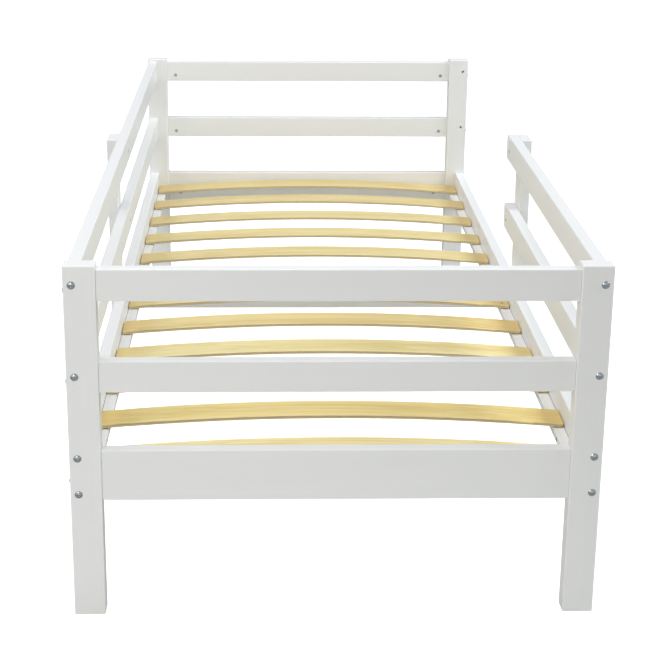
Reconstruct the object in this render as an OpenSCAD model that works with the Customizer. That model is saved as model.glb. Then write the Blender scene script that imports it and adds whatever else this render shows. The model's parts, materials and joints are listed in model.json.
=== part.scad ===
// Single bed for a young child: four corner posts, three rails at each end, guard rails along
// one whole side and half of the other, and a base of bowed slats on ledges.
// -Y is the front, which is the foot end, +X is the right side seen from there, +Z is up.
// The origin is on the floor, under the middle of the bed.

/* [Overall] */
// Length over the corner posts
bed_length = 2080; // [1700:10:2200]
// Width over the corner posts
bed_width = 980; // [880:10:1100]
// Height of the corner posts
post_height = 690; // [660:5:760]

/* [Posts] */
// Corner post size across the bed
post_w = 58; // [54:1:64]
// Corner post size along the bed
post_d = 36; // [34:1:46]
// Middle post size along the bed
mid_post_w = 70; // [60:1:90]
// Middle post thickness
mid_post_t = 24; // [20:1:30]
// Rounding of every timber's long edges
edge_r = 2.5; // [1:0.5:4]
// Rounding of the rails' ends
end_r = 1.5; // [0.5:0.5:2.5]

/* [Rails] */
// Thickness of every rail
rail_t = 25; // [22:1:28]
// Height of the top and middle rails
rail_h = 60; // [54:1:66]
// Height of the four bed rails
bed_rail_h = 100; // [90:1:110]
// Step from one rail's top edge down to the next
rail_step = 174; // [160:1:180]
// Height of the corner posts above the top rails
post_rise = 8; // [0:1:12]
// Setback of the end rails behind the faces of the posts
end_inset = 5; // [3:0.5:8]
// Setback of the side rails behind the faces of the posts
side_inset = 3; // [2:0.5:6]

/* [Slat base] */
// Number of slats
slat_count = 12; // [8:1:12]
// Slat width
slat_w = 74; // [60:1:80]
// Slat thickness
slat_t = 8; // [7:0.5:10]
// Height of the slats' bow in the middle of the bed
slat_rise = 21; // [12:1:26]
// Gap between the first and last slats and the end rails
slat_end_gap = 7; // [4:1:40]
// Gap between the slats' ends and the bed rails
slat_side_gap = 2; // [1:0.5:4]
// Depth of the ledges' top below the bed rails' top
ledge_drop = 50; // [45:1:55]
// Ledge size across the bed
ledge_w = 23; // [22:1:26]
// Ledge height
ledge_h = 15; // [14:1:30]
// Thickness of the beam across the middle
beam_t = 25; // [20:1:30]
// Height of the beam across the middle
beam_h = 36; // [30:1:40]

/* [Fasteners] */
// Bolt shank diameter
bolt_d = 6; // [5:1:6]
// Diameter of the holes for the bolts
bolt_hole_d = 7; // [7:0.5:8]
// Bolt head diameter
head_d = 15; // [13:0.5:16]
// Bolt head height
head_h = 3.4; // [3:0.1:4]
// Diameter of the barrel nuts
nut_d = 10; // [10:0.5:11]
// Length of the barrel nuts
nut_l = 20; // [16:1:20]
// Distance of the barrel nuts from the rails' ends
nut_inset = 26; // [24:1:30]
// Dowel diameter
dowel_d = 8; // [6:1:8]
// Dowel length
dowel_l = 30; // [24:1:32]

/* [Hidden] */

$fn = 48;
slack = 0.2;                  // added to the diameter of the holes for dowels, nuts and inserts
paint = [0.91, 0.91, 0.89];
slat_wood = [0.87, 0.79, 0.57];
dowel_wood = [0.80, 0.66, 0.45];
steel = [0.72, 0.73, 0.75];

// Places across and along the bed
post_x = (bed_width - post_w) / 2;
post_y = (bed_length - post_d) / 2;
side_x = bed_width / 2 - side_inset - rail_t / 2;
end_y = bed_length / 2 - end_inset - rail_t / 2;
side_inner_x = side_x - rail_t / 2;
side_outer_x = side_x + rail_t / 2;
end_rail_l = bed_width - 2 * post_w;
side_rail_l = bed_length - 2 * post_d;
short_rail_l = side_rail_l / 2 + mid_post_w / 2;
short_rail_y = (mid_post_w - side_rail_l) / 4;

// Heights: index 0 is the top rail, 1 the middle rail, 2 the bed rail
rail_top = [for (i = [0:2]) post_height - post_rise - i * rail_step];
rail_height = [rail_h, rail_h, bed_rail_h];
rail_z = [for (i = [0:2]) rail_top[i] - rail_height[i] / 2];
bed_rail_bottom = rail_top[2] - bed_rail_h;
ledge_top = rail_top[2] - ledge_drop;

// Bolts through the corner posts along the bed, into the side rails, by rail
side_bolt_rise = 2;           // above the middle of a guard rail
bed_bolt_margin = 14;         // from the top and the bottom of a bed rail
side_dowel_rise = 16;
side_bolt_z = [
    [rail_z[0] + side_bolt_rise],
    [rail_z[1] + side_bolt_rise],
    [rail_top[2] - bed_bolt_margin, bed_rail_bottom + bed_bolt_margin]
];
side_dowel_z = [rail_z[0] + side_dowel_rise, rail_z[1] + side_dowel_rise, rail_z[2]];
bolt_tail = 7;                // of a bolt, beyond the middle of its nut

// Bolts through the corner posts across the bed, into the end rails, by rail
end_bolt_drop = 12;           // below the middle of a top or middle rail
end_bolt_margin = 35;         // above the bottom of a bed rail
end_dowel_rise = 14;
end_dowel_margin = 28;        // below the top of a bed rail
end_bolt_z = [
    rail_z[0] - end_bolt_drop,
    rail_z[1] - end_bolt_drop,
    bed_rail_bottom + end_bolt_margin
];
end_dowel_z = [
    rail_z[0] + end_dowel_rise,
    rail_z[1] + end_dowel_rise,
    rail_top[2] - end_dowel_margin
];
end_nut_inset = [nut_inset, nut_inset, nut_inset + 10];
bolt_hole_tail = 14;          // from the nut to the end of the bolt's hole
dowel_in_post = 12;
nut_recess = 1;

// Bolts through the middle posts, into inserts in the rails
mid_post_h = rail_top[0] - bed_rail_bottom;
mid_bolt_drop = 6;            // below the middle of a guard rail
mid_bolt_margins = [16, 42];  // from the top and the bottom of a bed rail
mid_bolt_z = [
    rail_z[0] - mid_bolt_drop,
    rail_z[1] - mid_bolt_drop,
    rail_top[2] - mid_bolt_margins[0],
    bed_rail_bottom + mid_bolt_margins[1]
];
insert_d = 10;
insert_l = 14;
mid_bolt_l = mid_post_t + rail_t - 4;

// Slats: an arc whose underside rises slat_rise over half of the slat's length
slat_half = side_inner_x - slat_side_gap;
slat_corner_r = 5;
slat_edge_r = 3;
slat_pitch = (2 * (end_y - rail_t / 2 - slat_end_gap) - slat_w) / (slat_count - 1);
arc_r = (slat_half * slat_half + slat_rise * slat_rise) / (2 * slat_rise);
arc_z = ledge_top + slat_rise - arc_r;
arc_half = asin((slat_half + 1) / arc_r);
screw_slat = ceil(slat_count / 2) + 1;

// Wood screws
screw_d = 4;
screw_head_d = 8;
screw_head_h = 2.6;
ledge_screw_l = 35;
ledge_screw_count = 7;
ledge_screw_margin = 80;      // from the ledge's ends to the first and last screws, on average
ledge_screw_shift = 60;       // towards the back, which keeps the screws off the beam
ledge_screw_step = (side_rail_l - 2 * ledge_screw_margin) / (ledge_screw_count - 1);
ledge_z = ledge_top - ledge_h / 2;
ledge_edge_r = 1;
beam_screw_l = rail_t + ledge_w + 45;
slat_screw_margins = [18, 18]; // from the bed rail and from the slat's edge
slat_screw_x = side_inner_x - slat_screw_margins[0];
slat_screw_y = slat_y(screw_slat) - slat_w / 2 + slat_screw_margins[1];
slat_screw_l = 30;

function slat_name(i) = str("slat_", i < 10 ? "0" : "", i);
function slat_y(i) = ((slat_count + 1) / 2 - i) * slat_pitch;
function end_nut_x(side, level) = side * (end_rail_l / 2 - end_nut_inset[level]);
// Height of a slat's upper surface at a distance from the middle of the bed
function slat_top(x) = arc_z + sqrt((arc_r + slat_t) * (arc_r + slat_t) - x * x);

// ---- Timber shapes

module rounded_rectangle(w, h, r) {
    square([w - 2 * r, h], center = true);
    square([w, h - 2 * r], center = true);
    for (sx = [-1, 1], sy = [-1, 1])
        translate([sx * (w / 2 - r), sy * (h / 2 - r)])
            circle(r = r);
}

// Board along X, Y or Z with rounded long edges, centred on the origin
module board_x(l, w, h, r = edge_r) {
    rotate([90, 0, 90])
        linear_extrude(height = l, center = true)
            rounded_rectangle(w, h, r);
}

module board_y(l, w, h, r = edge_r) {
    rotate([90, 0, 0])
        linear_extrude(height = l, center = true)
            rounded_rectangle(w, h, r);
}

module board_z(l, w, d, r = edge_r) {
    linear_extrude(height = l, center = true)
        rounded_rectangle(w, d, r);
}

// Upright with every edge rounded, its ends too
module upright(w, d, h) {
    intersection() {
        board_z(h, w, d);
        board_x(w, d, h);
        board_y(d, w, h);
    }
}

// Rail along X or Y whose ends are rounded less than its long edges
module rail_x(l, w, h) {
    intersection() {
        board_x(l, w, h);
        board_y(w, l, h, end_r);
        board_z(h, l, w, end_r);
    }
}

module rail_y(l, w, h) {
    intersection() {
        board_y(l, w, h);
        board_x(w, l, h, end_r);
        board_z(h, w, l, end_r);
    }
}

// Round bar or hole along X or Y, centred on the origin
module rod_x(d, l) {
    rotate([0, 90, 0])
        cylinder(d = d, h = l, center = true);
}

module rod_y(d, l) {
    rotate([90, 0, 0])
        cylinder(d = d, h = l, center = true);
}

// ---- Frame

// Corner post: side is -1 left or 1 right, end is -1 front or 1 back
module corner_post(side, end) {
    color(paint)
        difference() {
            translate([side * post_x, end * post_y, post_height / 2])
                upright(post_w, post_d, post_height);
            for (zs = side_bolt_z, z = zs)
                translate([side * side_x, end * post_y, z])
                    rod_y(bolt_hole_d, post_d + 2);
            for (z = end_bolt_z)
                translate([side * post_x, end * end_y, z])
                    rod_x(bolt_hole_d, post_w + 2);
            for (j = side_joints)
                if (j[0] == side && j[1] == end)
                    translate([side * side_x, end * side_rail_l / 2, side_dowel_z[j[2]]])
                        rod_y(dowel_d + slack, 2 * dowel_in_post + 1);
            for (z = end_dowel_z)
                translate([side * end_rail_l / 2, end * end_y, z])
                    rod_x(dowel_d + slack, 2 * dowel_in_post + 1);
        }
}

// Middle post, outside the side rails
module middle_post(side) {
    x = side * (side_outer_x + mid_post_t / 2);
    color(paint)
        difference() {
            translate([x, 0, bed_rail_bottom + mid_post_h / 2])
                upright(mid_post_t, mid_post_w, mid_post_h);
            for (z = mid_bolt_z)
                translate([x, 0, z])
                    rod_x(bolt_hole_d, mid_post_t + 2);
        }
}

// End rail: end is -1 front or 1 back, level is 0 top, 1 middle or 2 bed
module end_rail(end, level) {
    color(paint)
        difference() {
            translate([0, end * end_y, rail_z[level]])
                rail_x(end_rail_l, rail_t, rail_height[level]);
            for (side = [-1, 1]) {
                translate([side * end_rail_l / 2, end * end_y, end_bolt_z[level]])
                    rod_x(bolt_hole_d, 2 * (end_nut_inset[level] + bolt_hole_tail));
                translate([side * end_rail_l / 2, end * end_y, end_dowel_z[level]])
                    rod_x(dowel_d + slack, 2 * (dowel_l - dowel_in_post) + 2);
                translate([end_nut_x(side, level), end * (end_y - rail_t / 2), end_bolt_z[level]])
                    rod_y(nut_d + slack, 2 * (nut_l + nut_recess + 1));
            }
        }
}

// Holes in a side rail at the corner post: end is -1 front or 1 back
module side_rail_end_holes(side, end, level) {
    for (z = side_bolt_z[level]) {
        translate([side * side_x, end * side_rail_l / 2, z])
            rod_y(bolt_hole_d, 2 * (nut_inset + bolt_hole_tail));
        translate([side * side_inner_x, end * (side_rail_l / 2 - nut_inset), z])
            rod_x(nut_d + slack, 2 * (nut_l + nut_recess + 1));
    }
    translate([side * side_x, end * side_rail_l / 2, side_dowel_z[level]])
        rod_y(dowel_d + slack, 2 * (dowel_l - dowel_in_post) + 2);
}

// Holes in a side rail for one middle post bolt and its insert
module mid_post_holes(side, z) {
    translate([side * side_x, 0, z])
        rod_x(bolt_hole_d, rail_t + 2);
    translate([side * side_inner_x, 0, z])
        rod_x(insert_d + slack, 2 * (insert_l + 1));
}

// Side rail of full length
module side_rail(side, level) {
    color(paint)
        difference() {
            translate([side * side_x, 0, rail_z[level]])
                rail_y(side_rail_l, rail_t, rail_height[level]);
            for (end = [-1, 1])
                side_rail_end_holes(side, end, level);
            if (level < 2) {
                mid_post_holes(side, mid_bolt_z[level]);
            } else {
                mid_post_holes(side, mid_bolt_z[2]);
                mid_post_holes(side, mid_bolt_z[3]);
                bed_rail_screw_holes(side);
            }
        }
}

// Guard rail from the front post to the middle post
module short_guard_rail(side, level) {
    color(paint)
        difference() {
            translate([side * side_x, short_rail_y, rail_z[level]])
                rail_y(short_rail_l, rail_t, rail_height[level]);
            side_rail_end_holes(side, -1, level);
            mid_post_holes(side, mid_bolt_z[level]);
        }
}

// ---- Slat base

// Ledge screws run from the ledge's inner face out into the bed rail
module ledge_screw_places(side) {
    first_y = -(ledge_screw_count - 1) / 2 * ledge_screw_step + ledge_screw_shift;
    for (i = [0:ledge_screw_count - 1])
        translate([side * (side_inner_x - ledge_w), first_y + i * ledge_screw_step, ledge_z])
            rotate([0, side * -90, 0])
                children();
}

// Beam screws run from the bed rail's outer face through the ledge into the beam
module beam_screw_place(side) {
    translate([side * side_outer_x, 0, ledge_z])
        rotate([0, side * 90, 0])
            children();
}

module bed_rail_screw_holes(side) {
    ledge_screw_places(side)
        screw_hole(ledge_screw_l);
    beam_screw_place(side)
        screw_hole(beam_screw_l);
}

module ledge(side) {
    color(paint)
        difference() {
            translate([side * (side_inner_x - ledge_w / 2), 0, ledge_z])
                board_y(side_rail_l, ledge_w, ledge_h, ledge_edge_r);
            ledge_screw_places(side)
                screw_hole(ledge_screw_l);
            beam_screw_place(side)
                screw_hole(beam_screw_l);
            if (side == 1)
                slat_screw_place()
                    screw_hole(slat_screw_l);
        }
}

module cross_beam() {
    color(paint)
        difference() {
            translate([0, 0, ledge_top - beam_h / 2])
                board_x(2 * (side_inner_x - ledge_w), beam_t, beam_h);
            for (side = [-1, 1])
                beam_screw_place(side)
                    screw_hole(beam_screw_l);
        }
}

// Slat bowed upwards along a circular arc, with rounded corners
module slat(i) {
    color(slat_wood)
        difference() {
            intersection() {
                translate([0, slat_y(i), arc_z])
                    rotate([90, 0, 0])
                        rotate([0, 0, 90 - arc_half])
                            rotate_extrude(angle = 2 * arc_half, $fn = 720)
                                translate([arc_r + slat_t / 2, 0])
                                    rounded_rectangle(slat_t, slat_w, slat_edge_r, $fn = 24);
                translate([0, slat_y(i), ledge_top])
                    board_z(4 * slat_rise, 2 * slat_half, slat_w + 1, slat_corner_r);
            }
            if (i == screw_slat)
                slat_screw_place()
                    screw_hole(slat_screw_l);
        }
}

module slat_screw_place() {
    translate([slat_screw_x, slat_screw_y, slat_top(slat_screw_x) - 0.4])
        children();
}

// ---- Fasteners

// Bolt along -Z: the domed head with a hexagonal socket stands on the plane Z = 0
module bolt(l) {
    dome_r = (head_d * head_d / 4 + head_h * head_h) / (2 * head_h);
    difference() {
        union() {
            intersection() {
                translate([0, 0, head_h - dome_r])
                    sphere(r = dome_r, $fn = 64);
                cylinder(d = head_d + 1, h = head_h + 1);
            }
            translate([0, 0, -l])
                cylinder(d = bolt_d, h = l + 0.5);
        }
        translate([0, 0, 0.8])
            cylinder(d = 4.6, h = head_h, $fn = 6);
    }
}

// Countersunk wood screw along -Z, its head's top on the plane Z = 0
module screw(l) {
    translate([0, 0, -screw_head_h])
        cylinder(d1 = screw_d, d2 = screw_head_d, h = screw_head_h);
    translate([0, 0, -l])
        cylinder(d1 = 1, d2 = screw_d, h = 5);
    translate([0, 0, 5 - l])
        cylinder(d = screw_d, h = l - 5 - screw_head_h);
}

// The hole that a screw fills, with a little room all round
module screw_hole(l) {
    translate([0, 0, -screw_head_h - slack])
        cylinder(d1 = screw_d + slack, d2 = screw_head_d + 2 * slack, h = screw_head_h + slack);
    translate([0, 0, -l - 1])
        cylinder(d = screw_d + slack, h = l + 1);
    cylinder(d = screw_head_d + 2 * slack, h = 4);
}

// Places of the side rails' bolts, as [side, end, level]
side_joints = [
    for (side = [-1, 1], end = [-1, 1], level = [0:2])
        if (side == -1 || end == -1 || level == 2) [side, end, level]
];

module side_rail_bolts() {
    color(steel)
        for (j = side_joints, z = side_bolt_z[j[2]])
            translate([j[0] * side_x, j[1] * bed_length / 2, z])
                rotate([-90 * j[1], 0, 0])
                    bolt(post_d + nut_inset + bolt_tail);
}

module side_barrel_nuts() {
    color(steel)
        for (j = side_joints, z = side_bolt_z[j[2]])
            translate([j[0] * (side_inner_x + nut_recess + nut_l / 2), 0, z])
                translate([0, j[1] * (side_rail_l / 2 - nut_inset), 0])
                    difference() {
                        rod_x(nut_d, nut_l);
                        rod_y(bolt_d + slack, nut_d + 2);
                    }
}

module side_rail_dowels() {
    color(dowel_wood)
        for (j = side_joints)
            translate([j[0] * side_x, 0, side_dowel_z[j[2]]])
                translate([0, j[1] * (side_rail_l / 2 + dowel_in_post - dowel_l / 2), 0])
                    rod_y(dowel_d, dowel_l);
}

module end_rail_bolts() {
    color(steel)
        for (side = [-1, 1], end = [-1, 1], level = [0:2])
            translate([side * bed_width / 2, end * end_y, end_bolt_z[level]])
                rotate([0, 90 * side, 0])
                    bolt(post_w + end_nut_inset[level] + bolt_tail);
}

module end_barrel_nuts() {
    color(steel)
        for (side = [-1, 1], end = [-1, 1], level = [0:2])
            translate([end_nut_x(side, level), 0, end_bolt_z[level]])
                translate([0, end * (end_y - rail_t / 2 + nut_recess + nut_l / 2), 0])
                    difference() {
                        rod_y(nut_d, nut_l);
                        rod_x(bolt_d + slack, nut_d + 2);
                    }
}

module end_rail_dowels() {
    color(dowel_wood)
        for (side = [-1, 1], end = [-1, 1], z = end_dowel_z)
            translate([side * (end_rail_l / 2 + dowel_in_post - dowel_l / 2), end * end_y, z])
                rod_x(dowel_d, dowel_l);
}

module mid_post_bolts() {
    color(steel)
        for (side = [-1, 1], z = mid_bolt_z)
            translate([side * (side_outer_x + mid_post_t), 0, z])
                rotate([0, 90 * side, 0])
                    bolt(mid_bolt_l);
}

// Threaded inserts, flush with the rails' inner faces
module mid_post_inserts() {
    color(steel)
        for (side = [-1, 1], z = mid_bolt_z)
            translate([side * (side_inner_x + insert_l / 2 + slack), 0, z])
                difference() {
                    rod_x(insert_d, insert_l);
                    rod_x(bolt_d + slack, insert_l + 2);
                }
}

module ledge_screws() {
    color(steel)
        for (side = [-1, 1])
            ledge_screw_places(side)
                screw(ledge_screw_l);
}

module beam_screws() {
    color(steel)
        for (side = [-1, 1])
            beam_screw_place(side)
                screw(beam_screw_l);
}

module slat_screw() {
    color(steel)
        slat_screw_place()
            screw(slat_screw_l);
}

// ---- Nodes

corner_post(-1, 1);  // back_post_left
corner_post(1, 1);  // back_post_right
corner_post(-1, -1);  // front_post_left
corner_post(1, -1);  // front_post_right
middle_post(-1);  // mid_post_left
middle_post(1);  // mid_post_right
end_rail(1, 0);  // back_rail_top
end_rail(1, 1);  // back_rail_middle
end_rail(1, 2);  // back_rail_bed
end_rail(-1, 0);  // front_rail_top
end_rail(-1, 1);  // front_rail_middle
end_rail(-1, 2);  // front_rail_bed
side_rail(-1, 0);  // left_guard_top
side_rail(-1, 1);  // left_guard_middle
side_rail(-1, 2);  // left_bed_rail
short_guard_rail(1, 0);  // right_guard_top
short_guard_rail(1, 1);  // right_guard_middle
side_rail(1, 2);  // right_bed_rail
ledge(-1);  // left_ledge
ledge(1);  // right_ledge
cross_beam();
for (i = [1:slat_count])
    slat(i);
end_rail_bolts();
side_rail_bolts();
end_barrel_nuts();
side_barrel_nuts();
end_rail_dowels();
side_rail_dowels();
mid_post_bolts();
mid_post_inserts();
ledge_screws();
beam_screws();
slat_screw();
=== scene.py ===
"""A white-painted bed for a young child: pine frame, bowed birch slats, zinc bolts.

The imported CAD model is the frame. This script gives it its materials, and adds the
floor, the light and the camera. Everything is in metres: +X is the bed's right side
seen from its front end, -Y the front end and +Z up, with the origin on the floor under
the middle of the bed.
"""

import json
import math

import bpy
from mathutils import Matrix, Vector


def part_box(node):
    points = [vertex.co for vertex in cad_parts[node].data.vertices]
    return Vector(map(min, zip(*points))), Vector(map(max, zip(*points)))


# Camera: place, turns in degrees, lens and sensor in millimetres, shift and reach
CAMERA_AT = Vector((-0.1321, -3.5936, 1.5169))
CAMERA_YAW = 1.588
CAMERA_PITCH = -16.483
CAMERA_ROLL = 0.469
CAMERA_LENS = 84.29
CAMERA_SENSOR = 36.0
CAMERA_SHIFT = (0.03, -0.15)
CAMERA_REACH = 100.0

# Sky: the direction that most of its light comes from, its colours there and opposite,
# and its strength
SKY_LEAN = Vector((-0.35, -0.55, -0.75))
SKY_TOWARD = (0.60, 0.605, 0.58)
SKY_AWAY = (0.01, 0.01, 0.01)
SKY_STRENGTH = 2.0

# Lamps: place, aim, side, watts and colour. The key makes the front end fade from left
# to right and the bolts glint, the top lights what faces up, the fill what faces right.
LAMPS = {
    "key": ((-0.85, -2.2, 1.4), (-0.3, -1.0, 0.45), 0.35, 3.8, (1.0, 0.97, 0.90)),
    "top": ((-1.0, 0.2, 5.0), (0.0, 0.0, 0.0), 4.0, 149, (0.925, 0.935, 1.0)),
    "fill": ((6.0, -0.6, 4.5), (-0.3, 0.5, 0.3), 3.0, 325, (0.88, 0.95, 1.0)),
}

# Floor: half its side, the glow that only the camera sees, under the bed and far off,
# and the distances from the origin between which it turns from one to the other
FLOOR_REACH = 40.0
FLOOR_GLOW = (0.80, 0.95)
FLOOR_GLOW_TURN = (1.6, 3.2)
# The share of light that it reflects, left and right, the X between which it turns from
# one to the other, and the share that glossy surfaces see of it
FLOOR_WHITE = (0.80, 0.35)
FLOOR_WHITE_TURN = (0.1, 1.3)
FLOOR_MIRRORED = 0.38
FLOOR_ROUGHNESS = 0.9

# Colours, linear
PAINT = (0.88, 0.88, 0.87)
# Painted shade: the ledges' white, a little darker and warmer than PAINT, for their
# place down under the slats
LEDGE_SHADED_PAINT = (0.86, 0.85, 0.82)
JOINT_BROWN = (0.36, 0.26, 0.15)
BIRCH_LIGHT = (0.81, 0.67, 0.33)
BIRCH_DARK = (0.72, 0.56, 0.23)
# Painted shade: the darker, more golden colour of the slats' ends next to the side
# rails
BIRCH_SHADED_END = (0.67, 0.49, 0.18)
PLY_LIGHT = (0.72, 0.59, 0.33)
PLY_DARK = (0.55, 0.43, 0.22)
ZINC = (0.52, 0.56, 0.60)
NUT_STEEL = (0.50, 0.50, 0.51)
SCREW_STEEL = (0.25, 0.24, 0.23)
DOWEL = (0.60, 0.42, 0.22)

# Each slat's own tone, from the back end to the front: it multiplies the face's colours
SLAT_TONES = (
    (0.94, 0.91, 0.88),
    (0.94, 0.93, 0.96),
    (0.97, 0.98, 1.03),
    (1.00, 1.02, 1.06),
    (0.98, 0.98, 1.01),
    (1.00, 1.00, 1.00),
    (1.00, 0.98, 0.95),
    (1.01, 0.98, 0.94),
    (1.06, 1.09, 1.12),
    (1.00, 1.00, 1.00),
    (1.03, 1.00, 0.88),
    (1.08, 1.11, 1.18),
)

# Ramps over noise from 0 to 1: each stop's position, and its share of the colour
PAINT_STOPS = ((0.35, 0.98), (0.65, 1.0))
LEDGE_STOPS = ((0.3, 0.94), (0.65, 1.0))
DOWEL_STOPS = ((0.3, 0.8), (0.7, 1.0))
# Ramps between two or three colours: each stop's position
BIRCH_STOPS = (0.40, 0.51, 0.64)
BIRCH_PALEST = 1.06
PLY_STOPS = (0.30, 0.62)

# Finishes: roughness, the paint's gloss, and what scratches multiply a plating's
# roughness by
PAINT_ROUGHNESS = 0.38
PAINT_GLOSS = 0.3
LEDGE_PAINT_ROUGHNESS = 0.45
BIRCH_ROUGHNESS = 0.48
DOWEL_ROUGHNESS = 0.6
ZINC_ROUGHNESS = 0.24
NUT_ROUGHNESS = 0.4
SCREW_ROUGHNESS = 0.45
PLATING_SPREAD = (0.7, 1.4)

# Noise: its scale per metre along the grain and across it, and its detail
PINE_GRAIN = (3.0, 160.0, 3.0)
PINE_PATCHES = (1.2, 9.0, 2.0)
LACQUER_PEEL = (900.0, 900.0, 1.0)
LEDGE_GRAIN = (3.0, 180.0, 3.0)
BIRCH_STREAKS = (4.0, 260.0, 4.0)
BIRCH_BANDS = (1.6, 26.0, 2.0)
PLATING_MARKS = (700.0, 1400.0, 2.0)
DOWEL_GRAIN = (20.0, 400.0, 3.0)
# The second noise's share where two are blended
PATCHES_SHARE = 0.6
PEEL_SHARE = 0.3
BANDS_SHARE = 0.45
PLY_STREAKS_SHARE = 0.35

# Relief: bump strength, and depth in metres
PAINT_RELIEF = (0.05, 0.0006)
LEDGE_RELIEF = (0.08, 0.0006)
BIRCH_RELIEF = (0.12, 0.0005)

GRAIN_AXES = "XYZ"

# The distances from the bed rail between which a ledge's paint gives way to bare wood
JOINT_EDGE = (0.0018, 0.0008)

# Slats: radius and centre height of the arc that their undersides follow, thickness and
# number of plies
ARC_RADIUS = 5.0486
ARC_CENTRE = -4.7436
SLAT_THICKNESS = 0.008
PLY_COUNT = 6
# The distances from the bed's middle line between which a slat darkens with painted
# shade from the side rails, and how much
SLAT_SHADE_TURN = (0.36, 0.46)
SLAT_SHADE_SHARE = 0.7
# The upright parts of the surface's normal between which it turns from face to edge
SLAT_EDGE_TURN = (0.85, 0.55)


# ---- Shader helpers


def add_node(tree, kind, inputs=(), **settings):
    """A new shader node. inputs gives each socket a value or a socket to link."""
    made = tree.nodes.new("ShaderNode" + kind)
    for key, value in settings.items():
        setattr(made, key, value)
    for key, value in dict(inputs).items():
        if isinstance(value, bpy.types.NodeSocket):
            tree.links.new(value, made.inputs[key])
        else:
            made.inputs[key].default_value = value
    return made


def new_material(name, colour, roughness, metallic=0.0):
    """A material with one Principled shader: returns it, its tree and the shader."""
    material = bpy.data.materials.new(name)
    material.use_nodes = True
    material.diffuse_color = (*colour, 1.0)
    tree = material.node_tree
    shader = tree.nodes["Principled BSDF"]
    shader.inputs["Base Color"].default_value = (*colour, 1.0)
    shader.inputs["Roughness"].default_value = roughness
    shader.inputs["Metallic"].default_value = metallic
    return material, tree, shader


def object_place(tree):
    """A point's place on its object, which for a CAD node is its place on the bed."""
    return add_node(tree, "TexCoord").outputs["Object"]


def split(tree, vector):
    """The X, Y and Z of a vector."""
    return add_node(tree, "SeparateXYZ", {0: vector}).outputs


def calculate(tree, operation, *values):
    """A Math node's result for one or two values or sockets."""
    return add_node(tree, "Math", enumerate(values), operation=operation).outputs[0]


def distance(tree, vector):
    """A vector's length."""
    made = add_node(tree, "VectorMath", {0: vector}, operation="LENGTH")
    return made.outputs["Value"]


def remap(tree, value, start, end, low=0.0, high=1.0, curve="LINEAR"):
    """low where value is start, high where it is end, and between them in between."""
    made = add_node(
        tree,
        "MapRange",
        {
            "Value": value,
            "From Min": start,
            "From Max": end,
            "To Min": low,
            "To Max": high,
        },
        interpolation_type=curve,
    )
    return made.outputs[0]


def ramp(tree, factor, stops):
    """A colour ramp over factor. stops are (position, linear colour)."""
    made = add_node(tree, "ValToRGB", {"Fac": factor})
    elements = made.color_ramp.elements
    while len(elements) < len(stops):
        elements.new(0.5)
    for element, (position, colour) in zip(elements, stops):
        element.position = position
        element.color = (*colour, 1.0)
    return made.outputs["Color"]


def blend_values(tree, factor, first, second):
    """first where factor is 0 and second where it is 1."""
    inputs = {0: factor, 2: first, 3: second}
    return add_node(tree, "Mix", inputs, data_type="FLOAT").outputs[0]


def blend_colours(tree, factor, first, second):
    """As blend_values, with first and second each a socket or a colour."""
    inputs = {0: factor, 6: first, 7: second}
    return add_node(tree, "Mix", inputs, data_type="RGBA").outputs[2]


def shaded(colour, share):
    """A colour multiplied by share."""
    return tuple(c * share for c in colour)


def tinted(colour, tone):
    """A colour multiplied by another."""
    return tuple(c * t for c, t in zip(colour, tone))


def shares(colour, stops):
    """Stops of a ramp between shares of one colour."""
    return [(position, shaded(colour, share)) for position, share in stops]


def stretched_noise(tree, axis, noise):
    """Noise drawn out along one axis, as wood grain is. noise is one of those above."""
    along, across, detail = noise
    scale = [across] * 3
    scale[GRAIN_AXES.index(axis)] = along
    mapped = add_node(tree, "Mapping", {"Vector": object_place(tree), "Scale": scale})
    made = add_node(
        tree, "TexNoise", {"Vector": mapped.outputs[0], "Scale": 1.0, "Detail": detail}
    )
    return made.outputs["Fac"]


def emboss(tree, shader, height, relief):
    """Gives a shader's surface a fine relief that follows height."""
    strength, depth = relief
    bump = add_node(
        tree, "Bump", {"Height": height, "Strength": strength, "Distance": depth}
    )
    tree.links.new(bump.outputs[0], shader.inputs["Normal"])


# ---- Materials


def painted_pine(axis):
    """White satin lacquer over pine whose grain, along axis, just shows in relief."""
    material, tree, shader = new_material(
        f"painted_pine_{axis.lower()}", PAINT, PAINT_ROUGHNESS
    )
    shader.inputs["Specular IOR Level"].default_value = PAINT_GLOSS
    grain = stretched_noise(tree, axis, PINE_GRAIN)
    patches = stretched_noise(tree, axis, PINE_PATCHES)
    tone = blend_values(tree, PATCHES_SHARE, grain, patches)
    colour = ramp(tree, tone, shares(PAINT, PAINT_STOPS))
    tree.links.new(colour, shader.inputs["Base Color"])
    peel = stretched_noise(tree, axis, LACQUER_PEEL)
    emboss(tree, shader, blend_values(tree, PEEL_SHARE, grain, peel), PAINT_RELIEF)
    return material


def painted_ledge():
    """The ledges' lacquer, a little darker and warmer than the frame's as painted shade
    for their place under the slats, with bare wood in the joint at the bed rails.
    """
    material, tree, shader = new_material(
        "painted_ledge", LEDGE_SHADED_PAINT, LEDGE_PAINT_ROUGHNESS
    )
    grain = stretched_noise(tree, "Y", LEDGE_GRAIN)
    # Painted shade: the ledge's white is darker and warmer than the frame's paint
    paint = ramp(tree, grain, shares(LEDGE_SHADED_PAINT, LEDGE_STOPS))
    out = calculate(tree, "ABSOLUTE", split(tree, object_place(tree))["X"])
    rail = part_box("right_bed_rail")[0][0]
    joint = remap(tree, out, *(rail - gap for gap in JOINT_EDGE))
    colour = blend_colours(tree, joint, paint, (*JOINT_BROWN, 1.0))
    tree.links.new(colour, shader.inputs["Base Color"])
    emboss(tree, shader, grain, LEDGE_RELIEF)
    return material


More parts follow.
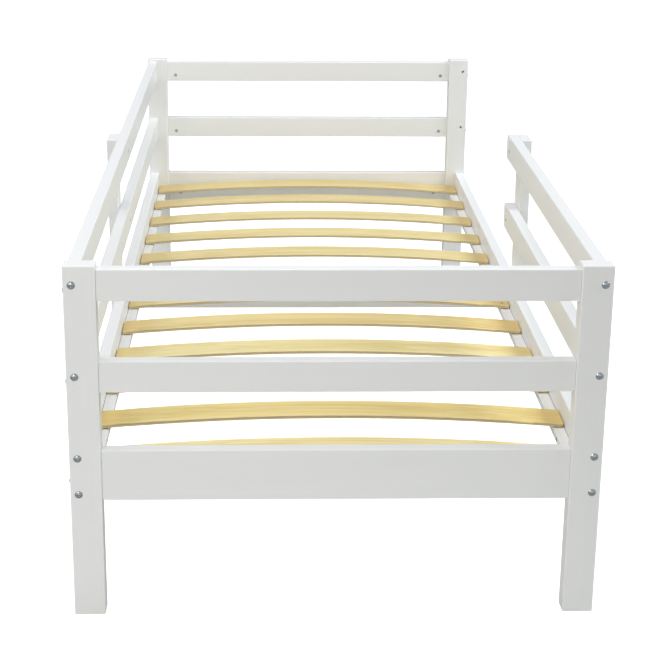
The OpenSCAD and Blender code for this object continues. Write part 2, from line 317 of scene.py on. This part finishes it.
def birch_face(tree, place, tone, streaks):
    """Fine grain along the slat, with painted shade darkening it towards its ends by
    the side rails.
    """
    light = tinted(BIRCH_LIGHT, tone)
    colours = (tinted(BIRCH_DARK, tone), light, shaded(light, BIRCH_PALEST))
    bands = stretched_noise(tree, "X", BIRCH_BANDS)
    grain = blend_values(tree, BANDS_SHARE, streaks, bands)
    middle = ramp(tree, grain, list(zip(BIRCH_STOPS, colours)))
    out = calculate(tree, "ABSOLUTE", place["X"])
    # Painted shade: the slat darkens towards the side rails, which shade its ends
    end_shade = remap(tree, out, *SLAT_SHADE_TURN, high=SLAT_SHADE_SHARE, curve="SMOOTHSTEP")
    return blend_colours(tree, end_shade, middle, (*tinted(BIRCH_SHADED_END, tone), 1.0))


def birch_edge(tree, place, streaks):
    """Plies that follow the slat's arc, by their distance from its underside."""
    height = calculate(tree, "SUBTRACT", place["Z"], ARC_CENTRE)
    flat = add_node(tree, "CombineXYZ", {"X": place["X"], "Z": height})
    radius = distance(tree, flat.outputs[0])
    top = ARC_RADIUS + SLAT_THICKNESS
    ply = remap(tree, radius, ARC_RADIUS, top, high=float(PLY_COUNT))
    # Two plies turn from dark to light, and the next two back
    wave = calculate(tree, "PINGPONG", ply, 2.0)
    layers = calculate(tree, "MULTIPLY", wave, 0.5)
    tone = blend_values(tree, PLY_STREAKS_SHARE, layers, streaks)
    return ramp(tree, tone, list(zip(PLY_STOPS, (PLY_DARK, PLY_LIGHT))))


def birch(name, tone):
    """Clear-lacquered birch ply: a slat's grained face, and its plies on the edges."""
    light = tinted(BIRCH_LIGHT, tone)
    material, tree, shader = new_material(name, light, BIRCH_ROUGHNESS)
    place = split(tree, object_place(tree))
    streaks = stretched_noise(tree, "X", BIRCH_STREAKS)
    face = birch_face(tree, place, tone, streaks)
    edge = birch_edge(tree, place, streaks)
    normal = add_node(tree, "NewGeometry").outputs["Normal"]
    upright = calculate(tree, "ABSOLUTE", split(tree, normal)["Z"])
    side = remap(tree, upright, *SLAT_EDGE_TURN)
    colour = blend_colours(tree, side, face, edge)
    tree.links.new(colour, shader.inputs["Base Color"])
    emboss(tree, shader, streaks, BIRCH_RELIEF)
    return material


def plated(name, colour, roughness):
    """Plated steel with fine scratches in its polish."""
    material, tree, shader = new_material(name, colour, roughness, metallic=1.0)
    marks = stretched_noise(tree, "Z", PLATING_MARKS)
    low, high = (roughness * share for share in PLATING_SPREAD)
    rough = remap(tree, marks, 0.0, 1.0, low, high)
    tree.links.new(rough, shader.inputs["Roughness"])
    return material


def dowel_wood():
    """Bare hardwood with its grain along X."""
    material, tree, shader = new_material("dowel_wood", DOWEL, DOWEL_ROUGHNESS)
    grain = stretched_noise(tree, "X", DOWEL_GRAIN)
    colour = ramp(tree, grain, shares(DOWEL, DOWEL_STOPS))
    tree.links.new(colour, shader.inputs["Base Color"])
    return material


def longest_axis(name):
    """The axis a CAD node is longest along, which is its grain's direction."""
    low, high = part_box(name)
    spans = high - low
    return GRAIN_AXES[max(range(3), key=lambda i: spans[i])]


def dress(frame):
    """Gives each CAD node its slot's material, and ledges and slats their own."""
    paint = {axis: painted_pine(axis) for axis in GRAIN_AXES}
    fixed = {
        "bolt_steel": plated("bolt_steel", ZINC, ZINC_ROUGHNESS),
        "nut_steel": plated("nut_steel", NUT_STEEL, NUT_ROUGHNESS),
        "screw_steel": plated("screw_steel", SCREW_STEEL, SCREW_ROUGHNESS),
        "dowel_wood": dowel_wood(),
    }
    ledge = painted_ledge()
    slots = {row["node"]: row["material_slot"] for row in frame["record"]["subparts"]}
    slats = [name for name in frame["nodes"] if slots[name] == "slat_wood"]
    slats.sort(key=lambda name: -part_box(name)[0][1])
    wood = {
        name: birch(f"{name}_wood", tone)
        for name, tone in zip(slats, SLAT_TONES, strict=True)
    }
    for name, piece in frame["nodes"].items():
        if name.endswith("ledge"):
            material = ledge
        elif name in wood:
            material = wood[name]
        elif slots[name] == "painted_pine":
            material = paint[longest_axis(name)]
        else:
            material = fixed[slots[name]]
        piece.data.materials.clear()
        piece.data.materials.append(material)


# ---- Surroundings


def floor():
    """A white floor whose glow, seen by the camera alone, drowns its shadows."""
    mesh = bpy.data.meshes.new("floor")
    r = FLOOR_REACH
    square = [(-r, -r, 0), (r, -r, 0), (r, r, 0), (-r, r, 0)]
    mesh.from_pydata(square, [], [(0, 1, 2, 3)])
    piece = bpy.data.objects.new("floor", mesh)
    bpy.context.scene.collection.objects.link(piece)
    material, tree, shader = new_material(
        "floor_white", (FLOOR_WHITE[0],) * 3, FLOOR_ROUGHNESS
    )
    shader.inputs["Specular IOR Level"].default_value = 0.0
    shader.inputs["Emission Color"].default_value = (1.0, 1.0, 1.0, 1.0)
    place = object_place(tree)
    path = add_node(tree, "LightPath").outputs
    far = distance(tree, place)
    glow = remap(tree, far, *FLOOR_GLOW_TURN, *FLOOR_GLOW, curve="SMOOTHSTEP")
    shown = calculate(tree, "MULTIPLY", glow, path["Is Camera Ray"])
    tree.links.new(shown, shader.inputs["Emission Strength"])
    across = split(tree, place)["X"]
    white = remap(tree, across, *FLOOR_WHITE_TURN, *FLOOR_WHITE, curve="SMOOTHSTEP")
    mirrored = (*(FLOOR_MIRRORED,) * 3, 1.0)
    colour = blend_colours(tree, path["Is Glossy Ray"], white, mirrored)
    tree.links.new(colour, shader.inputs["Base Color"])
    mesh.materials.append(material)


def sky():
    """Light from all round, most of it from SKY_LEAN. The camera sees plain white."""
    world = bpy.data.worlds.new("sky")
    bpy.context.scene.world = world
    world.use_nodes = True
    tree = world.node_tree
    background = tree.nodes["Background"]
    toward = add_node(tree, "TexCoord").outputs["Generated"]
    both = {0: toward, 1: SKY_LEAN.normalized()}
    lean = add_node(tree, "VectorMath", both, operation="DOT_PRODUCT")
    share = remap(tree, lean.outputs["Value"], -1.0, 1.0)
    light = ramp(tree, share, [(0.0, SKY_AWAY), (1.0, SKY_TOWARD)])
    seen = add_node(tree, "LightPath").outputs["Is Camera Ray"]
    white = 1.0 / SKY_STRENGTH
    colour = blend_colours(tree, seen, light, (white, white, white, 1.0))
    tree.links.new(colour, background.inputs["Color"])
    background.inputs["Strength"].default_value = SKY_STRENGTH


def soft_box(name, place, aim, size, power, colour):
    """A square area light at place that faces aim. The camera doesn't see it."""
    light = bpy.data.lights.new(name, "AREA")
    light.size = size
    light.energy = power
    light.color = colour
    lamp = bpy.data.objects.new(name, light)
    lamp.location = place
    lamp.rotation_euler = (aim - place).to_track_quat("-Z", "Y").to_euler()
    lamp.visible_camera = False
    bpy.context.scene.collection.objects.link(lamp)


def camera():
    """The camera, turned by yaw towards +X, by pitch up and by roll about its sight."""
    yaw, pitch, roll = (
        math.radians(angle) for angle in (CAMERA_YAW, CAMERA_PITCH, CAMERA_ROLL)
    )
    ahead = Vector(
        (
            math.sin(yaw) * math.cos(pitch),
            math.cos(yaw) * math.cos(pitch),
            math.sin(pitch),
        )
    )
    level = Vector((math.cos(yaw), -math.sin(yaw), 0.0))
    above = level.cross(ahead)
    right = level * math.cos(roll) + above * math.sin(roll)
    up = above * math.cos(roll) - level * math.sin(roll)
    data = bpy.data.cameras.new("camera")
    data.lens = CAMERA_LENS
    data.sensor_width = CAMERA_SENSOR
    data.shift_x, data.shift_y = CAMERA_SHIFT
    data.clip_end = CAMERA_REACH
    view = bpy.data.objects.new("camera", data)
    turn = Matrix((right, up, -ahead)).transposed().to_4x4()
    view.matrix_world = Matrix.Translation(CAMERA_AT) @ turn
    bpy.context.scene.collection.objects.link(view)
    bpy.context.scene.camera = view


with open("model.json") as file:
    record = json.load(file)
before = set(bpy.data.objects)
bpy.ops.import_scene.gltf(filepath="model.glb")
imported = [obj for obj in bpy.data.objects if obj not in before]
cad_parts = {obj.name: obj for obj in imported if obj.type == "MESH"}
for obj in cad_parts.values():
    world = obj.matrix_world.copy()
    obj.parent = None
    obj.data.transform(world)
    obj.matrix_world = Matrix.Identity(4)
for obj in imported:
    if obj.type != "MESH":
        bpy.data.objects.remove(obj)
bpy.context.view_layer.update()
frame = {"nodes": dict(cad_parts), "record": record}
camera()
dress(frame)
floor()
sky()
for name, (place, aim, *rest) in LAMPS.items():
    soft_box(name, Vector(place), Vector(aim), *rest)
bpy.context.scene.view_settings.view_transform = "Standard"
